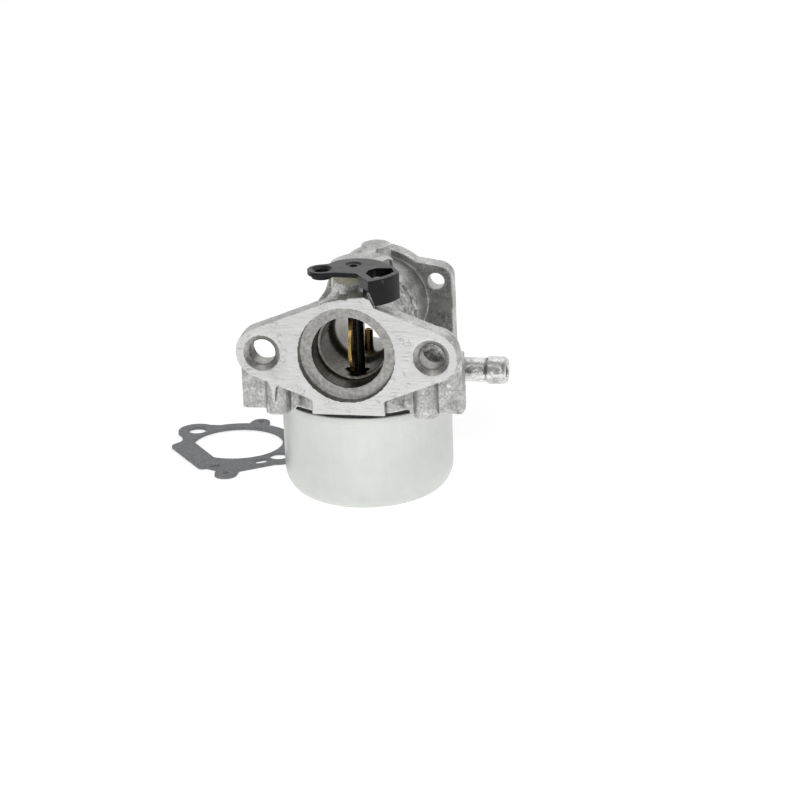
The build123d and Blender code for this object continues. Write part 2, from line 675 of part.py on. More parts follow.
with BuildPart() as nut:
    head_top = shelf - WASHER_T
    with BuildSketch(Plane.XY.offset(head_top - NUT_HEAD_T)):
        with Locations((0, BOWL_Y)):
            RegularPolygon(NUT_FLATS / 2, 6, major_radius=False)
    extrude(amount=NUT_HEAD_T)
    with BuildSketch(bowl_section):
        with BuildLine():
            Polyline((NUT_FLATS / 2 - 0.3, head_top - NUT_HEAD_T - 0.1),
                     (NUT_FLATS / 2 + 1.5, head_top - NUT_HEAD_T + 0.9),
                     (NUT_FLATS / 2 + 1.5, head_top - NUT_HEAD_T - 0.1),
                     (NUT_FLATS / 2 - 0.3, head_top - NUT_HEAD_T - 0.1))
        make_face()
    revolve(axis=bowl_axis, mode=Mode.SUBTRACT)
    with BuildSketch(Plane.XY.offset(head_top)):
        with Locations((0, BOWL_Y)):
            Circle(NUT_SHANK_R)
    extrude(amount=13.5)
    chamfer(nut.edges().group_by(Axis.Z)[-1], 0.5)
save(nut, "bowl_nut")

with BuildPart() as nut_washer:
    with BuildSketch(Plane.XY.offset(shelf - WASHER_T)):
        with Locations((0, BOWL_Y)):
            Circle(WASHER_R)
            Circle(NUT_SHANK_R + 0.1, mode=Mode.SUBTRACT)
    extrude(amount=WASHER_T)
save(nut_washer, "bowl_nut_washer")

# ---------------------------------------------------------------- throttle
with BuildPart() as felt:
    with BuildSketch(Plane.XY.offset(FELT_SEAT_Z)):
        with Locations((0, THROTTLE_Y)):
            Circle(FELT_R)
            Circle(SHAFT_R + RUNNING, mode=Mode.SUBTRACT)
    extrude(amount=LEVER_BOTTOM - RUNNING - FELT_SEAT_Z)
save(felt, "throttle_felt_seal")


def lever_line():
    """Lever outline seen from above: link eye, hub and the pocketed quadrant."""
    with BuildLine() as outline:
        Line((2.2, 5.9), (6.6, -0.2))
        ThreePointArc((6.6, -0.2), (10.4, 2.8), (13.1, 7.9))
        ThreePointArc((13.1, 7.9), (10.7, 12.3), (6.6, 16.6))
        ThreePointArc((6.6, 16.6), (1.4, 18.5), (-4.8, 16.2))
        Polyline((-4.8, 16.2), (-6.6, 13.4), (-9.6, 12.0), (-10.6, 7.0), (-6.8, 5.4), (-3.2, 6.3), (2.2, 5.9))
    return outline.line


def lever_pocket():
    """Hole in the quadrant, leaving an even rim round it."""
    with BuildLine() as outline:
        ThreePointArc((7.3, 2.3), (9.9, 4.9), (11.6, 8.4))
        Polyline((11.6, 8.4), (10.4, 11.2), (6.6, 10.8), (4.9, 9.0), (4.7, 6.2), (7.3, 2.3))
    return outline.line


with BuildPart() as throttle_shaft:
    with BuildSketch(Plane.XY.offset(SHAFT_BOTTOM)):
        with Locations((0, THROTTLE_Y)):
            Circle(SHAFT_R)
    extrude(amount=LEVER_BOTTOM - SHAFT_BOTTOM)
    # lever with its round link eye
    with BuildSketch(Plane.XY.offset(LEVER_BOTTOM)):
        add(make_face(lever_line(), mode=Mode.PRIVATE))
        with Locations((LINK_X, LINK_Y)):
            Circle(LINK_R)
    extrude(amount=LEVER_T)
    # shallow rim hanging under the quadrant
    with BuildSketch(Plane.XY.offset(RIM_BOTTOM)):
        with BuildLine():
            ThreePointArc((6.6, -0.2), (10.4, 2.8), (13.1, 7.9))
            Polyline((13.1, 7.9), (11.4, 11.0), (10.4, 12.3), (6.2, 12.2), (4.2, 9.6), (3.9, 5.4), (3.2, 4.5),
                     (6.6, -0.2))
        make_face()
    extrude(amount=LEVER_BOTTOM - RIM_BOTTOM)
    # deep skirt along the quadrant's curved front and its stop side
    with BuildSketch(Plane.XY.offset(SKIRT_BOTTOM)):
        with BuildLine():
            ThreePointArc((6.6, -0.2), (10.4, 2.8), (13.1, 7.9))
            Polyline((13.1, 7.9), (12.5, 9.0), (11.3, 9.0), (3.9, 5.6), (3.6, 3.95), (6.6, -0.2))
        make_face()
    extrude(amount=RIM_BOTTOM - SKIRT_BOTTOM)
    # pocket through the quadrant
    with BuildSketch(Plane.XY.offset(SKIRT_BOTTOM - 1)):
        add(make_face(lever_pocket(), mode=Mode.PRIVATE))
    extrude(amount=LEVER_TOP - SKIRT_BOTTOM + 2, mode=Mode.SUBTRACT)
    # stop side leans clear of the flange's stop pad
    with BuildSketch(Plane.XZ.offset(2)):
        with BuildLine():
            Polyline((0, 17.2), (6.75, 17.2), (8.1, SKIRT_BOTTOM - 0.5), (0, SKIRT_BOTTOM - 0.5), (0, 17.2))
        make_face()
    extrude(amount=-7.4, mode=Mode.SUBTRACT)
    # stepped link bush, its dish and hole
    with BuildSketch(Plane.XY.offset(LEVER_TOP - 2.3)):
        with Locations((LINK_X, LINK_Y)):
            Circle(2.7)
    extrude(amount=2.0)
    with BuildSketch(Plane.XY.offset(LEVER_TOP - 4)):
        with Locations((LINK_X, LINK_Y)):
            Circle(LINK_HOLE_R)
    extrude(amount=6, mode=Mode.SUBTRACT)
    with BuildSketch(Plane.XY.offset(LEVER_TOP - 0.7)):
        with Locations((LINK_X, LINK_Y)):
            Circle(LINK_HOLE_R)
    extrude(amount=0.8, taper=-55, mode=Mode.SUBTRACT)
    # dished top of the shaft with its core hole
    with BuildSketch(Plane.XY.offset(LEVER_TOP - 0.35)):
        with Locations((0, THROTTLE_Y)):
            Circle(1.7)
    extrude(amount=0.4, taper=-60, mode=Mode.SUBTRACT)
    with BuildSketch(Plane.XY.offset(LEVER_TOP - 5)):
        with Locations((0, THROTTLE_Y)):
            Circle(0.95)
    extrude(amount=6, mode=Mode.SUBTRACT)
    # slot for the plate
    with Locations((0, THROTTLE_Y, 0)):
        Box(PLATE_T + 0.04, 3 * SHAFT_R, 2 * (THROTTLE_R - 0.05), mode=Mode.SUBTRACT)
save(throttle_shaft, "throttle_shaft")

with BuildPart() as throttle_plate:
    with BuildSketch(Plane.YZ.offset(-PLATE_T / 2)):
        with Locations((THROTTLE_Y, 0)):
            Ellipse((THROTTLE_R - 0.1) / cos(radians(PLATE_CLOSED_ANGLE)), THROTTLE_R - 0.1)
    extrude(amount=PLATE_T)
save(throttle_plate, "throttle_plate")

# ---------------------------------------------------------------- loose air-cleaner gasket
gasket_plane = Plane(origin=(GASKET_X, GASKET_Y, BOWL_BOTTOM),
                     x_dir=(cos(radians(GASKET_TURN)), sin(radians(GASKET_TURN)), 0), z_dir=(0, 0, 1))
with BuildPart() as gasket:
    with BuildSketch(gasket_plane):
        Circle(15.6)
        add(make_face(cleaner_outline(), mode=Mode.PRIVATE))
        with Locations(*cleaner_bolts):
            Circle(5.2)
        with BuildLine():
            Polyline((12.2, -14.8), (17.6, -12.0), (18.4, -7.6), (12.2, -14.8))
        make_face()
        SlotCenterPoint((18.0, -10.6), (19.8, -12.0), 6.0)
        SlotCenterPoint((-11.0, 10.5), (-12.3, 12.0), 5.0)
        with BuildLine():
            chord = (GASKET_HOLE_R ** 2 - GASKET_CHORD ** 2) ** 0.5
            ThreePointArc((-chord, GASKET_CHORD), (0, GASKET_HOLE_R), (chord, GASKET_CHORD))
            Line((chord, GASKET_CHORD), (-chord, GASKET_CHORD))
        make_face(mode=Mode.SUBTRACT)
        with Locations(*cleaner_bolts):
            Circle(GASKET_BOLT_R, mode=Mode.SUBTRACT)
        with Locations((16.1, -0.1)):
            RectangleRounded(2.7, 3.6, 0.5, mode=Mode.SUBTRACT)
        with Locations((19.8, -12.0), (-12.6, 12.3)):
            Circle(0.8, mode=Mode.SUBTRACT)
    extrude(amount=GASKET_T)
save(gasket, "air_cleaner_gasket")
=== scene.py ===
"""Looks of the small-engine carburetor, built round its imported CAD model."""

import json
import math

import bmesh
import bpy
import numpy as np
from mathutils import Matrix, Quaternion, Vector


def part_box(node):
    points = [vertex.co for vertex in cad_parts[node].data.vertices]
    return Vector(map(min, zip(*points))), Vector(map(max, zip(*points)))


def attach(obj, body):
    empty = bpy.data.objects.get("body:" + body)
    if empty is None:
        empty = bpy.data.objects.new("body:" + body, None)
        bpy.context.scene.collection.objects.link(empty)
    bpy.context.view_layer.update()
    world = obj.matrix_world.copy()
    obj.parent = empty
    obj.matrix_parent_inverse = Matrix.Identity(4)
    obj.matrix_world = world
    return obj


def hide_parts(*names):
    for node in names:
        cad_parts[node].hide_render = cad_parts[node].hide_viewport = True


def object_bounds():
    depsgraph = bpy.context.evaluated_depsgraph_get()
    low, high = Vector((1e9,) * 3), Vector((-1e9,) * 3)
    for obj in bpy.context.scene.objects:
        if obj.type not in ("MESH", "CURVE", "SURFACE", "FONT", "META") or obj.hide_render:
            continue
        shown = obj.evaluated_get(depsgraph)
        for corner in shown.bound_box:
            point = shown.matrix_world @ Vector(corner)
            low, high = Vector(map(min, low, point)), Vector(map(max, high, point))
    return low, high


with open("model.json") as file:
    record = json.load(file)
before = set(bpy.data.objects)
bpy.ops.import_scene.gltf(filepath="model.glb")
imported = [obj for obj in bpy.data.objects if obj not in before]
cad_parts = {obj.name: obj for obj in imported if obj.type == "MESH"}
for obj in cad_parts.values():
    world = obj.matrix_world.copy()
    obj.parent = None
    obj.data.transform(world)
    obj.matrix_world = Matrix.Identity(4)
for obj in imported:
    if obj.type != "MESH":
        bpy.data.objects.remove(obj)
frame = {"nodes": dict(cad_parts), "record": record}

MM = 0.001
cad_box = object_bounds()

# ---------------------------------------------------------------- places taken from the frame
body_low, body_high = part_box("carburetor_body")
bowl_low, bowl_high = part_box("float_bowl")
FLOOR_Z = cad_box[0].z
BOWL_AXIS = (bowl_low + bowl_high) / 2
REAR_FACE = body_high.y

# ---------------------------------------------------------------- sizes the casting has in the CAD
STUD_X = 22.225 * MM
RECESS_R = 12.7 * MM
RECESS_DEPTH = 2.25 * MM
INLET_Y, INLET_Z = 22.8 * MM, -10.7 * MM
BORE_R, BORE_START, BORE_END = 8.7 * MM, 8.9 * MM, 17.5 * MM
CLEANER_BOLTS = [(14.889 * MM, 5.508 * MM), (-14.889 * MM, -5.508 * MM)]

# ---------------------------------------------------------------- camera, at the photograph's angle
VIEW_AZIMUTH, VIEW_ELEVATION, VIEW_ROLL = map(math.radians, (12.144, 19.5, 2.261))
VIEW_AIM = Vector((9.394, 20.0, -18.839)) * MM
VIEW_DISTANCE = 1.5
VIEW_LENS = 259.19

back = Vector((
    math.sin(VIEW_AZIMUTH) * math.cos(VIEW_ELEVATION),
    -math.cos(VIEW_AZIMUTH) * math.cos(VIEW_ELEVATION),
    math.sin(VIEW_ELEVATION),
))
camera = bpy.data.objects.new("camera", bpy.data.cameras.new("camera"))
bpy.context.scene.collection.objects.link(camera)
camera.data.lens = VIEW_LENS
camera.data.clip_end = 20
camera.rotation_mode = "QUATERNION"
camera.location = VIEW_AIM + back * VIEW_DISTANCE
camera.rotation_quaternion = (-back).to_track_quat("-Z", "Y") @ Quaternion((0, 0, 1), -VIEW_ROLL)
bpy.context.scene.camera = camera
bpy.context.scene.view_settings.view_transform = "Standard"


# ---------------------------------------------------------------- materials
def add_node(tree, kind, inputs=None, **settings):
    """A new shader node; its inputs take values or other nodes' sockets."""
    node = tree.nodes.new(kind)
    for key, value in settings.items():
        setattr(node, key, value)
    for key, value in (inputs or {}).items():
        if isinstance(value, bpy.types.NodeSocket):
            tree.links.new(value, node.inputs[key])
        else:
            node.inputs[key].default_value = value
    return node


class Surface:
    """A Principled material, with short calls that add its nodes and join them."""

    def __init__(self, name, **constants):
        self.material = bpy.data.materials.new(name)
        self.material.use_nodes = True
        self.tree = self.material.node_tree
        self.shader = self.tree.nodes["Principled BSDF"]
        self.place = self.add("ShaderNodeTexCoord").outputs["Object"]
        self.normal = None
        for socket, value in constants.items():
            self.shader.inputs[socket.replace("_", " ")].default_value = value

    def add(self, kind, inputs=None, **settings):
        return add_node(self.tree, kind, inputs, **settings)

    def noise(self, size_mm, detail=4.0, stretch=(1, 1, 1), rough=0.55, warp=0.0):
        """Noise whose features are about size_mm across, longer along the axes that stretch names."""
        scale = [1 / s for s in stretch]
        place = self.add("ShaderNodeMapping", {"Vector": self.place, "Scale": scale}).outputs[0]
        return self.add("ShaderNodeTexNoise", {
            "Vector": place, "Scale": 1 / (size_mm * MM), "Detail": detail, "Roughness": rough,
            "Distortion": warp,
        }).outputs[0]

    def cells(self, size_mm):
        """Distance to scattered points about size_mm apart."""
        return self.add("ShaderNodeTexVoronoi", {
            "Vector": self.place, "Scale": 1 / (size_mm * MM)}).outputs["Distance"]

    def span(self, value, low, high, to_low=0.0, to_high=1.0):
        """value from low..high laid on to_low..to_high, and held there."""
        return self.add("ShaderNodeMapRange", {
            0: value, 1: low, 2: high, 3: to_low, 4: to_high}).outputs[0]

    def maths(self, operation, a, b=0.0):
        return self.add("ShaderNodeMath", {0: a, 1: b}, operation=operation).outputs[0]

    def weighted(self, a, share, b):
        """This share of a, and the rest of b."""
        return self.maths("ADD", self.maths("MULTIPLY", a, share), self.maths("MULTIPLY", b, 1 - share))

    def mix(self, factor, a, b):
        """Colour a where factor is 0 and b where it is 1."""
        values = {0: factor}
        for key, value in ((6, a), (7, b)):
            values[key] = value if isinstance(value, bpy.types.NodeSocket) else (*value, 1.0)
        return self.add("ShaderNodeMix", values, data_type="RGBA").outputs[2]

    def near(self, place_mm, inner_mm, outer_mm):
        """1 within inner_mm of a place on the object, falling to 0 at outer_mm."""
        place = [c * MM for c in place_mm]
        reach = self.add("ShaderNodeVectorMath", {0: self.place, 1: place}, operation="DISTANCE")
        return self.span(reach.outputs["Value"], inner_mm * MM, outer_mm * MM, 1.0, 0.0)

    def edges(self, low, high):
        """0 on flats and hollows, rising to 1 on worn outer edges."""
        return self.span(self.add("ShaderNodeNewGeometry").outputs["Pointiness"], low, high)

    def bump(self, height, depth_mm):
        """Adds a layer of relief under the shader."""
        values = {"Height": height, "Distance": depth_mm * MM, "Strength": 1.0}
        if self.normal is not None:
            values["Normal"] = self.normal
        self.normal = self.add("ShaderNodeBump", values).outputs[0]

    def finish(self, colour, roughness):
        self.tree.links.new(colour, self.shader.inputs["Base Color"])
        self.tree.links.new(roughness, self.shader.inputs["Roughness"])
        if self.normal is not None:
            self.tree.links.new(self.normal, self.shader.inputs["Normal"])
        return self.material


def cast_metal():
    """As-cast aluminium: grey skin with speckled grain, dull and bright blotches and rubbed edges.

    Painted highlights: bright and dark streaks are painted on the right of the barrel, and on the boss
    under it, which they lift out of its shade.
    """
    s = Surface("cast_aluminium", Metallic=0.92)
    blotch = s.noise(5.0, 5.0, rough=0.7, warp=0.4)
    grain = s.noise(0.55, 6.0, rough=0.75)
    speckle = s.noise(0.30, 3.0, rough=0.7)
    tone = s.weighted(blotch, 0.45, grain)
    colour = s.mix(s.span(tone, 0.40, 0.60), (0.24, 0.24, 0.235), (0.62, 0.62, 0.61))
    colour = s.mix(s.span(speckle, 0.60, 0.72, 0.0, 0.7), colour, (0.13, 0.13, 0.125))
    streak_noise = s.noise(1.7, 5.0, stretch=(1.6, 1, 1), rough=0.62, warp=0.8)
    # painted highlights: the patch on the barrel's right and on the shaded boss under it where bright
    # streaks are painted
    highlight_patch = s.maths("MAXIMUM", s.near((11, 26, 3), 5, 13), s.near((18, 20, -6), 5, 9))
    highlight_patch = s.maths("MULTIPLY", highlight_patch, s.span(blotch, 0.40, 0.55, 0.35, 1.0))
    highlight_streaks = s.mix(s.span(streak_noise, 0.42, 0.60), (0.17, 0.17, 0.167), (0.86, 0.86, 0.85))
    colour = s.mix(highlight_patch, colour, highlight_streaks)
    colour = s.mix(s.maths("MULTIPLY", s.edges(0.515, 0.56), 0.6), colour, (0.84, 0.84, 0.83))
    s.bump(s.noise(2.2, 3.0), 0.16)
    s.bump(s.maths("MULTIPLY", streak_noise, highlight_patch), 0.30)
    s.bump(grain, 0.10)
    s.bump(speckle, 0.03)
    return s.finish(colour, s.span(tone, 0.4, 0.6, 0.40, 0.24))


def tube_metal():
    """The inlet tube's cast skin, rubbed bright by the hose."""
    s = Surface("tube_aluminium", Metallic=0.95)
    streak_noise = s.noise(2.6, 5.0, stretch=(1.6, 1, 1), rough=0.62, warp=0.8)
    grain = s.noise(0.4, 5.0, rough=0.75)
    tone = s.weighted(streak_noise, 0.7, grain)
    colour = s.mix(s.span(tone, 0.40, 0.60), (0.34, 0.34, 0.335), (0.74, 0.74, 0.73))
    colour = s.mix(s.edges(0.512, 0.55), colour, (0.92, 0.92, 0.91))
    s.bump(streak_noise, 0.16)
    s.bump(grain, 0.05)
    return s.finish(colour, s.span(tone, 0.4, 0.6, 0.34, 0.18))


def milled_metal():
    """Milled aluminium: bright, with fine cutter lines, stray scratches, scuffs and small pits."""
    s = Surface("milled_aluminium", Metallic=0.80)
    lines = s.noise(0.26, 4.0, stretch=(18, 1, 1), rough=0.7)
    cross = s.noise(0.5, 4.0, stretch=(1, 1, 5), rough=0.7)
    scratches = s.span(s.noise(0.55, 5.0, stretch=(9, 1, 1), rough=0.8, warp=0.8), 0.60, 0.68)
    pits = s.span(s.cells(1.6), 0.09, 0.03)
    worm = s.maths("ABSOLUTE", s.maths("SUBTRACT", s.noise(2.6, 3.0, rough=0.6, warp=1.2), 0.5))
    region = s.span(s.noise(7.0, 2.0), 0.52, 0.62)
    scuffs = s.maths("MULTIPLY", s.span(worm, 0.012, 0.004), region)
    colour = s.mix(s.span(lines, 0.35, 0.65), (0.56, 0.56, 0.555), (0.73, 0.73, 0.725))
    colour = s.mix(s.span(cross, 0.55, 0.75, 0.0, 0.25), colour, (0.52, 0.52, 0.515))
    colour = s.mix(s.maths("MULTIPLY", scratches, 0.45), colour, (0.42, 0.42, 0.415))
    damage = s.maths("MULTIPLY", s.maths("MAXIMUM", pits, scuffs), 0.6)
    colour = s.mix(damage, colour, (0.25, 0.25, 0.245))
    s.bump(lines, 0.014)
    s.bump(cross, 0.010)
    s.bump(s.maths("ADD", scratches, s.maths("ADD", pits, scuffs)), -0.05)
    return s.finish(colour, s.span(lines, 0.3, 0.7, 0.38, 0.52))


def turned_metal(name, dark, light, rough, speckle_share):
    """Bored aluminium: fine rings round the bore, with dull speckles where the casting shows."""
    s = Surface(name, Metallic=0.95)
    rings = s.noise(0.14, 3.0, stretch=(60, 1, 60), rough=0.6)
    cloud = s.noise(1.0, 6.0, rough=0.75)
    speckle = s.noise(0.30, 5.0, rough=0.75)
    colour = s.mix(s.span(cloud, 0.38, 0.62), dark, light)
    colour = s.mix(s.span(speckle, 0.52, 0.68, 0.0, speckle_share), colour, dark)
    s.bump(rings, 0.012)
    s.bump(speckle, 0.03)
    return s.finish(colour, s.span(speckle, 0.3, 0.7, rough + 0.14, rough))


def zinc_steel():
    """Drawn steel with a satin zinc plate: pale and even, with faint clouds and drawing marks."""
    s = Surface("zinc_plated_steel", Metallic=0.8)
    mottle = s.noise(5.0, 6.0, rough=0.6)
    drawn = s.noise(0.8, 4.0, stretch=(1, 1, 22), rough=0.6)
    specks = s.span(s.cells(2.6), 0.05, 0.02)
    tone = s.weighted(mottle, 0.8, drawn)
    colour = s.mix(s.span(tone, 0.36, 0.64), (0.575, 0.585, 0.565), (0.625, 0.635, 0.615))
    colour = s.mix(s.maths("MULTIPLY", specks, 0.3), colour, (0.55, 0.55, 0.53))
    s.bump(mottle, 0.010)
    s.bump(drawn, 0.002)
    return s.finish(colour, s.span(mottle, 0.3, 0.7, 0.34, 0.42))


def black_plastic():
    """Glass-filled nylon: near black, finely grained, with a soft sheen and paler rubbed edges."""
    s = Surface("black_plastic", Specular_IOR_Level=0.22)
    grain = s.noise(0.22, 5.0, rough=0.75)
    flow = s.noise(3.0, 5.0, stretch=(2, 1, 1), rough=0.65)
    colour = s.mix(s.span(flow, 0.35, 0.65), (0.004, 0.004, 0.005), (0.010, 0.010, 0.011))
    colour = s.mix(s.span(grain, 0.62, 0.74, 0.0, 0.5), colour, (0.045, 0.045, 0.045))
    colour = s.mix(s.edges(0.52, 0.58), colour, (0.06, 0.06, 0.06))
    s.bump(flow, 0.05)
    s.bump(grain, 0.018)
    return s.finish(colour, s.span(flow, 0.35, 0.65, 0.20, 0.34))


def brass(name, dark, light, rough):
    """Turned brass with a thin brown varnish in streaks."""
    s = Surface(name, Metallic=1.0)
    streaks = s.noise(0.8, 4.0, stretch=(1, 1, 6), rough=0.6)
    rings = s.noise(0.10, 2.0, stretch=(30, 30, 1))
    colour = s.mix(s.span(streaks, 0.35, 0.65), dark, light)
    s.bump(rings, 0.008)
    return s.finish(colour, s.span(streaks, 0.3, 0.7, rough, rough + 0.14))


def bright_steel(name, dark, light, rough):
    """Small turned or stamped metal parts, with a fine grain."""
    s = Surface(name, Metallic=1.0)
    grain = s.noise(0.5, 4.0, rough=0.65)
    colour = s.mix(s.span(grain, 0.35, 0.65), dark, light)
    s.bump(grain, 0.006)
    return s.finish(colour, s.span(grain, 0.3, 0.7, rough, rough + 0.12))


def rubber():
    s = Surface("seal_rubber", Specular_IOR_Level=0.4)
    dust = s.noise(1.2, 5.0, rough=0.7)
    colour = s.mix(s.span(dust, 0.4, 0.7), (0.012, 0.012, 0.012), (0.035, 0.034, 0.033))
    s.bump(s.noise(0.2, 3.0), 0.008)
    return s.finish(colour, s.span(dust, 0.3, 0.7, 0.55, 0.75))


def float_plastic():
    s = Surface("float_plastic")
    flow = s.noise(4.0, 3.0)
    colour = s.mix(s.span(flow, 0.35, 0.65), (0.030, 0.030, 0.032), (0.052, 0.052, 0.054))
    s.bump(s.noise(0.25, 3.0), 0.008)
    return s.finish(colour, s.span(flow, 0.3, 0.7, 0.40, 0.52))


def fibre(name, dark, light, fleck, depth):
    """Pressed fibre sheet: tangled short fibres, with pale and dark flecks."""
    s = Surface(name, Specular_IOR_Level=0.25)
    tangle = s.noise(0.7, 6.0, rough=0.8, warp=1.5)
    hairs = s.noise(0.25, 3.0, stretch=(5, 1, 1), warp=2.0)
    flecks = s.span(s.cells(0.75), 0.20, 0.08)
    colour = s.mix(s.span(tangle, 0.36, 0.64), dark, light)
    colour = s.mix(s.maths("MULTIPLY", s.span(hairs, 0.60, 0.72), 0.5), colour, fleck)
    colour = s.mix(s.maths("MULTIPLY", flecks, 0.4), colour, fleck)
    s.bump(tangle, depth)
    s.bump(hairs, depth / 2)
    return s.finish(colour, s.span(tangle, 0.3, 0.7, 0.78, 0.95))


CAST, MILLED, TUBE = cast_metal(), milled_metal(), tube_metal()
TURNED = turned_metal("turned_aluminium", (0.24, 0.235, 0.22), (0.42, 0.415, 0.40), 0.28, 0.5)
# the bore's copy of turned aluminium is darker: painted shade inside the bore
SHADED_BORE = turned_metal("shaded_bore_aluminium", (0.12, 0.115, 0.10), (0.25, 0.24, 0.215), 0.24, 0.4)
BRASS = brass("brass", (0.26, 0.16, 0.045), (0.52, 0.36, 0.12), 0.20)
NUT_BRASS = brass("nut_brass", (0.52, 0.36, 0.13), (0.70, 0.52, 0.22), 0.26)
STEEL = bright_steel("bright_steel", (0.55, 0.55, 0.54), (0.70, 0.70, 0.69), 0.22)
FINISHES = {
    "cast_aluminium": CAST,
    "plated_steel": zinc_steel(),
    "black_plastic": black_plastic(),
    "brass": BRASS,
    "nut_brass": NUT_BRASS,
    "plug_metal": bright_steel("plug_metal", (0.46, 0.46, 0.45), (0.60, 0.60, 0.59), 0.32),
    "bright_steel": STEEL,
    "needle_metal": bright_steel("needle_metal", (0.58, 0.57, 0.54), (0.72, 0.71, 0.68), 0.20),
    "seal_rubber": rubber(),
    "float_plastic": float_plastic(),
    "fibre_washer": fibre(
        "fibre_washer", (0.24, 0.10, 0.06), (0.34, 0.15, 0.09), (0.45, 0.25, 0.16), 0.02),
    "felt": fibre("felt", (0.42, 0.41, 0.31), (0.60, 0.59, 0.48), (0.72, 0.71, 0.62), 0.09),
    "gasket_fibre": fibre(
        "gasket_fibre", (0.13, 0.133, 0.14), (0.31, 0.313, 0.325), (0.58, 0.585, 0.60), 0.05),
}
node_slot = {row["node"]: row["material_slot"] for row in frame["record"]["subparts"]}
for node, piece in frame["nodes"].items():
    piece.data.materials.clear()
    piece.data.materials.append(FINISHES[node_slot[node]])


# ---------------------------------------------------------------- mesh tools
def new_piece(name, mesh, body, node):
    """Adds a piece that stands for a CAD node and rides on its body, and hides the node."""
    piece = bpy.data.objects.new(name, mesh)
    bpy.context.scene.collection.objects.link(piece)
    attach(piece, body)
    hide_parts(node)


def welded(node):
    """A copy of a CAD node's mesh with its split corners joined, as one closed surface."""
    mesh = frame["nodes"][node].data.copy()
    bm = bmesh.new()
    bm.from_mesh(mesh)
    bmesh.ops.remove_doubles(bm, verts=bm.verts, dist=0.5e-6)
    bm.to_mesh(mesh)
    bm.free()
    return mesh


def modified(mesh, kind, **settings):
    """The mesh after one modifier with these settings."""
    holder = bpy.data.objects.new("holder", mesh)
    bpy.context.scene.collection.objects.link(holder)
    modifier = holder.modifiers.new(kind.lower(), kind)
    for key, value in settings.items():
        setattr(modifier, key, value)
    shown = holder.evaluated_get(bpy.context.evaluated_depsgraph_get())
    made = bpy.data.meshes.new_from_object(shown)
    bpy.data.objects.remove(holder)
    return made


def remeshed(mesh, voxel):
    """The mesh's surface built again from voxels of this size."""
    return modified(mesh, "REMESH", mode="VOXEL", voxel_size=voxel, use_smooth_shade=True)


def thinned(mesh, ratio):
    """The mesh with this share of its faces left."""
    return modified(mesh, "DECIMATE", decimate_type="COLLAPSE", ratio=ratio)


def points_of(mesh):
    flat = np.empty(len(mesh.vertices) * 3, np.float32)
    mesh.vertices.foreach_get("co", flat)
    return flat.reshape(-1, 3).astype(float)


def set_points(mesh, points):
    mesh.vertices.foreach_set("co", points.astype(np.float32).ravel())
    mesh.update()


def normals_of(mesh):
    flat = np.empty(len(mesh.vertices) * 3, np.float32)
    mesh.vertices.foreach_get("normal", flat)
    return flat.reshape(-1, 3).astype(float)


def smoothed(mesh, share, rounds):
    """Rounds the mesh's edges, more where the share is higher.

    Each point moves towards its neighbours' mean and then back, so nothing shrinks.
    """
    pairs = np.empty(len(mesh.edges) * 2, np.int32)
    mesh.edges.foreach_get("vertices", pairs)
    a, b = pairs[0::2], pairs[1::2]
    points = points_of(mesh)
    count = len(points)
    near = np.bincount(a, minlength=count) + np.bincount(b, minlength=count)
    for i in range(2 * rounds):
        step = share * (-0.52 if i % 2 else 0.5)
        for axis in range(3):
            column = points[:, axis]
            total = np.bincount(a, column[b], count) + np.bincount(b, column[a], count)
            points[:, axis] = column + step * (total / near - column)
    set_points(mesh, points)


def crisp(mesh, angle):
    """Smooth shading that still breaks at edges sharper than the angle."""
    mesh.polygons.foreach_set("use_smooth", np.ones(len(mesh.polygons), bool))
    mesh.set_sharp_from_angle(angle=math.radians(angle))
    mesh.update()


def waves(points, size, seed):
    """Smooth, repeatable unevenness from -1 to 1, with features about size across."""
    rng = np.random.default_rng(seed)
    total = np.zeros(len(points))
    for _ in range(9):
        direction = rng.normal(size=3)
        direction /= np.linalg.norm(direction)
        pitch = size * rng.uniform(0.7, 1.6)
        total += np.sin(points @ direction * (2 * math.pi / pitch) + rng.uniform(0, 2 * math.pi))
    return total / 4.5


# ---------------------------------------------------------------- the casting
CAST_VOXEL = 0.26 * MM
CAST_ROUNDS = 14
CAST_RATIO = 0.45
CAST_CREASE = 38
# the cast skin keeps this far from the axis of each bored or drilled place
BORE_REACH, STUD_REACH, SCREW_REACH = 11.5 * MM, 3.5 * MM, 2.4 * MM
BORE_MARGIN = 0.2 * MM
# it starts this far from a cut surface, and is whole after this much more
CUT_EDGE, CUT_FADE = 0.25 * MM, 0.35 * MM
FAR = 1.0
BARREL_START, BARREL_END, BARREL_R = 17 * MM, 32 * MM, 14 * MM
TUBE_START, TUBE_END = 24.5 * MM, 37.1 * MM
TUBE_ROOT, TUBE_REACH = 24.3 * MM, 4.2 * MM
PARTING_HEIGHT, PARTING_WIDTH, PARTING_SIDE = 0.12, 0.22 * MM, 2.6 * MM
BOWL_REACH, CAP_UNDERSIDE = 21 * MM, -15.5 * MM
REAM_SKIN, REAM_CLEARANCE = 0.3 * MM, 0.04 * MM
FACE_SKIN, STEP_SKIN = 0.06 * MM, 0.3 * MM
BORE_WALL, STEP_INNER = 11.4 * MM, 9.4 * MM
SPOT_R, SPOT_DEPTH = 5.0 * MM, 1.3 * MM


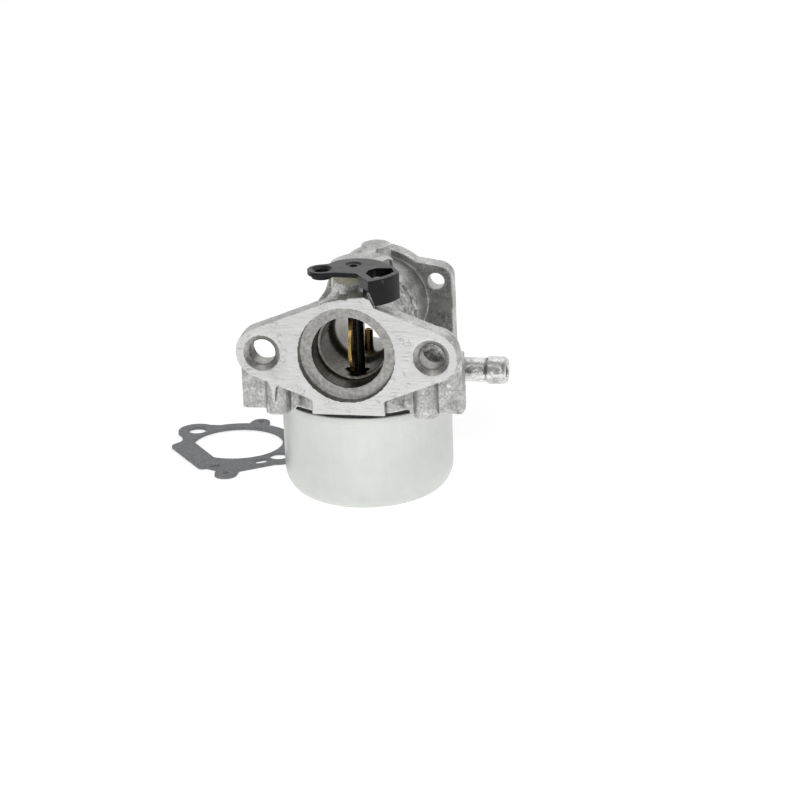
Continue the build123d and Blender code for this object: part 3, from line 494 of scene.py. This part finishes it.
def cast_share(points):
    """1 on cast skin, falling to 0 where a tool has cut: faces, bores and drilled holes."""
    x, y, z = points.T
    from_axis = np.hypot(x, z)
    cut = np.minimum(np.abs(y), np.abs(y - REAR_FACE))
    from_recess = np.maximum(from_axis - RECESS_R, 0)
    cut = np.minimum(cut, np.where(y < RECESS_DEPTH + 1.0 * MM, from_recess, FAR))
    cut = np.minimum(cut, np.maximum(from_axis - BORE_REACH, 0) + BORE_MARGIN)
    for side in (-1, 1):
        cut = np.minimum(cut, np.maximum(np.hypot(x - side * STUD_X, z) - STUD_REACH, 0))
    for bolt_x, bolt_z in CLEANER_BOLTS:
        cut = np.minimum(cut, np.maximum(np.hypot(x - bolt_x, z - bolt_z) - SCREW_REACH, 0))
    return np.clip((cut - CUT_EDGE) / CUT_FADE, 0, 1)


def rough(points, size_mm, height_mm, seed):
    """Unevenness about height_mm deep, with features about size_mm across."""
    return waves(points, size_mm * MM, seed) * height_mm * MM


def within(value, start, end, ease_in, ease_out):
    """1 between start and end, easing to 0 over these lengths inside them."""
    return np.clip((value - start) / ease_in, 0, 1) * np.clip((end - value) / ease_out, 0, 1)


def skin_relief(points):
    """How far the cast skin stands out from the smooth casting at each point."""
    x, y, z = points.T
    relief = rough(points, 5.0, 0.035, seed=1) + rough(points, 1.7, 0.014, seed=2)
    # the barrel in front of the rear flange is rougher, as a worn die leaves it
    barrel = within(y, BARREL_START, BARREL_END, 2 * MM, 0.6 * MM) * (np.hypot(x, z) < BARREL_R)
    relief += barrel * rough(points, 2.6, 0.07, seed=3)
    # dents all along the inlet tube, and a raised parting line on its front and back
    tube = within(x, TUBE_START, TUBE_END, 1.0 * MM, 0.4 * MM)
    relief += tube * rough(points, 1.6, 0.035, seed=4)
    line = np.exp(-((z - INLET_Z) / PARTING_WIDTH) ** 2) * (np.abs(y - INLET_Y) > PARTING_SIDE)
    relief += tube * PARTING_HEIGHT * MM * line
    # nothing is added inside the bowl, where the jets and the float hang
    in_bowl = (np.hypot(x, y - BOWL_AXIS.y) < BOWL_REACH) & (z < CAP_UNDERSIDE)
    return relief * ~in_bowl


def paint_casting(mesh):
    """Gives each face of the casting the finish that its tool, or the mould, left on it."""
    finishes = (CAST, MILLED, TURNED, SHADED_BORE, TUBE)
    cast, milled, turned, shaded_bore, tube = range(len(finishes))
    mesh.materials.clear()
    for finish in finishes:
        mesh.materials.append(finish)
    centres = np.empty(len(mesh.polygons) * 3, np.float32)
    facing = np.empty(len(mesh.polygons) * 3, np.float32)
    mesh.polygons.foreach_get("center", centres)
    mesh.polygons.foreach_get("normal", facing)
    x, y, z = centres.reshape(-1, 3).T
    facing_y = facing.reshape(-1, 3)[:, 1]
    from_axis = np.hypot(x, z)
    behind_face = y > FACE_SKIN
    kinds = np.full(len(mesh.polygons), cast, np.int32)
    kinds[(x > TUBE_ROOT) & (np.hypot(y - INLET_Y, z - INLET_Z) < TUBE_REACH)] = tube
    kinds[(y < FACE_SKIN) & (facing_y < -0.9)] = milled
    kinds[(y > REAR_FACE - FACE_SKIN) & (facing_y > 0.9)] = milled
    in_recess = (from_axis < RECESS_R + 0.15 * MM) & (y < RECESS_DEPTH + STEP_SKIN)
    kinds[in_recess & behind_face] = turned
    # the bore walls take the darker copy: painted shade
    kinds[(from_axis < BORE_WALL) & behind_face & (y < REAR_FACE)] = shaded_bore
    at_step = (y > RECESS_DEPTH - STEP_SKIN) & (y < RECESS_DEPTH + STEP_SKIN)
    kinds[(from_axis > STEP_INNER) & (from_axis < RECESS_R) & at_step] = turned
    for side in (-1, 1):
        from_stud = np.hypot(x - side * STUD_X, z)
        kinds[(from_stud < SPOT_R) & behind_face & (y < SPOT_DEPTH)] = turned
        kinds[from_stud < STUD_REACH] = turned
    mesh.polygons.foreach_set("material_index", kinds)


def casting():
    """The CAD body with rounded, roughened cast skin and its machined faces left true."""
    mesh = remeshed(welded("carburetor_body"), CAST_VOXEL)
    share = cast_share(points_of(mesh))
    smoothed(mesh, share, CAST_ROUNDS)
    points = points_of(mesh)
    from_axis = np.hypot(points[:, 0], points[:, 2])
    points += normals_of(mesh) * (skin_relief(points) * share)[:, None]
    points[:, 1] = np.clip(points[:, 1], body_low.y, body_high.y)
    # the throttle bore is reamed: true, and just clear of the plate's edge
    beside_plate = (points[:, 1] > BORE_START) & (points[:, 1] < BORE_END)
    reamed = beside_plate & (np.abs(from_axis - BORE_R) < REAM_SKIN)
    points[reamed, 0::2] *= ((BORE_R + REAM_CLEARANCE) / from_axis[reamed])[:, None]
    set_points(mesh, points)
    mesh = thinned(mesh, CAST_RATIO)
    crisp(mesh, CAST_CREASE)
    paint_casting(mesh)
    new_piece("casting_skin", mesh, "casting", "carburetor_body")


casting()


# ---------------------------------------------------------------- moulded throttle, felt and gasket
def soft_copy(name, node, body, voxel, rounds, ratio, angle, wave=None):
    """A CAD node with its edges rounded a little, as moulding or pressing leaves them."""
    mesh = remeshed(welded(node), voxel)
    smoothed(mesh, np.ones(len(mesh.vertices)), rounds)
    if wave:
        size, height, seed = wave
        points = points_of(mesh)
        set_points(mesh, points + normals_of(mesh) * (waves(points, size, seed) * height)[:, None])
    mesh = thinned(mesh, ratio)
    crisp(mesh, angle)
    mesh.materials.clear()
    mesh.materials.append(FINISHES[node_slot[node]])
    new_piece(name, mesh, body, node)


soft_copy("throttle_moulding", "throttle_shaft", "throttle",
          voxel=0.13 * MM, rounds=5, ratio=0.35, angle=45)
soft_copy("felt_ring", "throttle_felt_seal", "casting",
          voxel=0.14 * MM, rounds=6, ratio=0.5, angle=60, wave=(0.9 * MM, 0.035 * MM, 5))
soft_copy("gasket_sheet", "air_cleaner_gasket", "gasket",
          voxel=0.16 * MM, rounds=2, ratio=0.25, angle=40)


# ---------------------------------------------------------------- drawn steel bowl
def lathe(name, outline, axis, turns=192):
    """A closed outline of (radius, height) turned round a vertical axis."""
    bm = bmesh.new()
    rings = []
    for i in range(turns):
        angle = 2 * math.pi * i / turns
        rings.append([bm.verts.new((axis.x + r * math.cos(angle), axis.y + r * math.sin(angle), z))
                      for r, z in outline])
    count = len(outline)
    for ring, after in zip(rings, rings[1:] + rings[:1]):
        for j in range(count):
            k = (j + 1) % count
            bm.faces.new((ring[j], after[j], after[k], ring[k]))
    bmesh.ops.recalc_face_normals(bm, faces=bm.faces)
    mesh = bpy.data.meshes.new(name)
    bm.to_mesh(mesh)
    bm.free()
    return mesh


def corner(centre, radius, start, end, steps):
    """Points of an arc in an outline, its angles in degrees."""
    angles = [math.radians(start + (end - start) * i / steps) for i in range(steps + 1)]
    return [(centre[0] + radius * math.cos(a), centre[1] + radius * math.sin(a)) for a in angles]


RIM_BAND = 2.2 * MM


def bowl_outline():
    """The cup's section, from the bolt hole along the outside to the rim and back along the inside."""
    top, base = bowl_high.z, bowl_low.z
    outer = (bowl_high.x - bowl_low.x) / 2
    side = outer - 0.25 * MM
    wall, foot_r, bend_r, rim_r = 0.8 * MM, 7.4 * MM, 0.8 * MM, 0.35 * MM
    sump, rise, hole = 8.4 * MM, 4.2 * MM, 3.1 * MM
    shelf = base + rise
    # the raised middle, the foot, and the wall up to the rim band
    outline = [(hole, shelf), (sump - 1.6 * MM, shelf)]
    outline += corner((sump - 1.3 * MM, shelf - bend_r), bend_r, 80, 15, 5)
    outline += corner((sump + 1.4 * MM, base + bend_r), bend_r, 195, 270, 6)
    outline += corner((side - foot_r, base + foot_r), foot_r, -90, 0, 18)
    outline += [(side + 0.04 * MM, top - 12 * MM), (side + 0.05 * MM, top - RIM_BAND - 0.55 * MM)]
    # the rim band, with its outer corner rounded
    outline += [(outer - 0.10 * MM, top - RIM_BAND - 0.30 * MM), (outer, top - RIM_BAND + 0.1 * MM)]
    outline += [(outer, top - rim_r)]
    outline += corner((outer - rim_r, top - rim_r), rim_r, 15, 90, 4)
    # back down the inside, one wall away
    outline += [(outer - wall, top), (outer - wall, top - RIM_BAND)]
    outline += [(side - wall, top - RIM_BAND - 0.6 * MM)]
    outline += corner((side - foot_r, base + foot_r), foot_r - wall, 0, -90, 14)
    outline += [(sump + 1.4 * MM, base + wall), (sump + 1.5 * MM, base + wall)]
    outline += [(sump, shelf + wall - 0.2 * MM), (sump - 0.6 * MM, shelf + wall), (hole, shelf + wall)]
    return outline


def bowl():
    """The drawn cup, turned from its outline. Such a cup is never quite round."""
    mesh = lathe("bowl", bowl_outline(), BOWL_AXIS)
    points = points_of(mesh)
    outward = points - np.array([BOWL_AXIS.x, BOWL_AXIS.y, 0])
    outward[:, 2] = 0
    reach = np.hypot(outward[:, 0], outward[:, 1])
    angle = np.arctan2(outward[:, 1], outward[:, 0])
    # three slow lobes and seven small ones, full from 3 mm below the rim band
    ripple = 0.03 * MM * (np.sin(3 * angle + 0.6) + 0.6 * np.sin(7 * angle + 2.1))
    below = np.clip((bowl_high.z - RIM_BAND - points[:, 2]) / (3 * MM), 0, 1)
    points += outward / reach[:, None] * ((ripple - 0.05 * MM) * below)[:, None]
    set_points(mesh, points)
    crisp(mesh, 40)
    mesh.materials.append(FINISHES["plated_steel"])
    new_piece("bowl_shell", mesh, "casting", "float_bowl")


bowl()


# ---------------------------------------------------------------- floor and light
FLOOR_REACH, FLOOR_GAP = 6, 0.02 * MM
floor_corners = [(x * FLOOR_REACH, y * FLOOR_REACH, 0) for x, y in ((-1, -1), (1, -1), (1, 1), (-1, 1))]
floor_mesh = bpy.data.meshes.new("floor")
floor_mesh.from_pydata(floor_corners, [], [(0, 1, 2, 3)])
floor = bpy.data.objects.new("floor", floor_mesh)
floor.location = (0, 0, FLOOR_Z - FLOOR_GAP)
bpy.context.scene.collection.objects.link(floor)
pale = Surface("pale_floor", Specular_IOR_Level=0.1, Emission_Color=(1, 1, 1, 1))
# the floor glows, brightest in a painted pool of light in front of the bowl, which the bowl reflects
pool = pale.span(pale.near((8, -32, 0), 15, 95), 0.0, 1.0, 0.33, 0.79)
pale.tree.links.new(pool, pale.shader.inputs["Emission Strength"])
shade = pale.noise(400, 2.0)
floor_mesh.materials.append(pale.finish(
    pale.mix(shade, (0.93, 0.93, 0.93), (0.95, 0.95, 0.95)), pale.span(shade, 0, 1, 0.8, 0.9)))

centre = (cad_box[0] + cad_box[1]) / 2


def softbox(name, azimuth, elevation, distance, size, power):
    """A square area light aimed at the object. Azimuth 0 lights from the front."""
    a, e = math.radians(azimuth), math.radians(elevation)
    away = Vector((math.sin(a) * math.cos(e), -math.cos(a) * math.cos(e), math.sin(e)))
    lamp = bpy.data.lights.new(name, "AREA")
    lamp.size = size
    lamp.energy = power
    holder = bpy.data.objects.new(name, lamp)
    holder.location = centre + away * distance
    holder.rotation_mode = "QUATERNION"
    holder.rotation_quaternion = (-away).to_track_quat("-Z", "Y")
    bpy.context.scene.collection.objects.link(holder)


softbox("front_light", azimuth=-20, elevation=42, distance=1.2, size=0.6, power=1.6)
softbox("low_light", azimuth=4, elevation=8, distance=1.3, size=0.30, power=1.1)
softbox("top_light", azimuth=150, elevation=70, distance=1.0, size=0.6, power=1.2)
softbox("left_light", azimuth=-80, elevation=25, distance=1.1, size=0.4, power=0.25)
softbox("right_light", azimuth=70, elevation=24, distance=1.1, size=0.4, power=0.5)

# a white backdrop behind the object, dimmer towards the camera's side and to the left and right
FRONT_GLOW, BACK_GLOW, SIDE_SHARE = 0.30, 1.15, 0.30
SIDE_START, SIDE_END = 0.25, 0.95
world = bpy.data.worlds.new("studio")
world.use_nodes = True
sky = world.node_tree
generated = add_node(sky, "ShaderNodeTexCoord").outputs["Generated"]
direction = add_node(sky, "ShaderNodeSeparateXYZ", {0: generated}).outputs
depth = add_node(sky, "ShaderNodeMapRange", {
    "Value": direction["Y"], "From Min": -1.0, "To Min": FRONT_GLOW, "To Max": BACK_GLOW})
sideways = add_node(sky, "ShaderNodeMath", {0: direction["X"]}, operation="ABSOLUTE")
fall = add_node(sky, "ShaderNodeMapRange", {
    "Value": sideways.outputs[0], "From Min": SIDE_START, "From Max": SIDE_END,
    "To Min": 1.0, "To Max": SIDE_SHARE})
glow = add_node(sky, "ShaderNodeMath", {0: depth.outputs[0], 1: fall.outputs[0]}, operation="MULTIPLY")
sky.links.new(glow.outputs[0], sky.nodes["Background"].inputs["Strength"])
sky.nodes["Background"].inputs["Color"].default_value = (1.0, 1.0, 1.0, 1.0)
bpy.context.scene.world = world

bpy.context.view_layer.update()
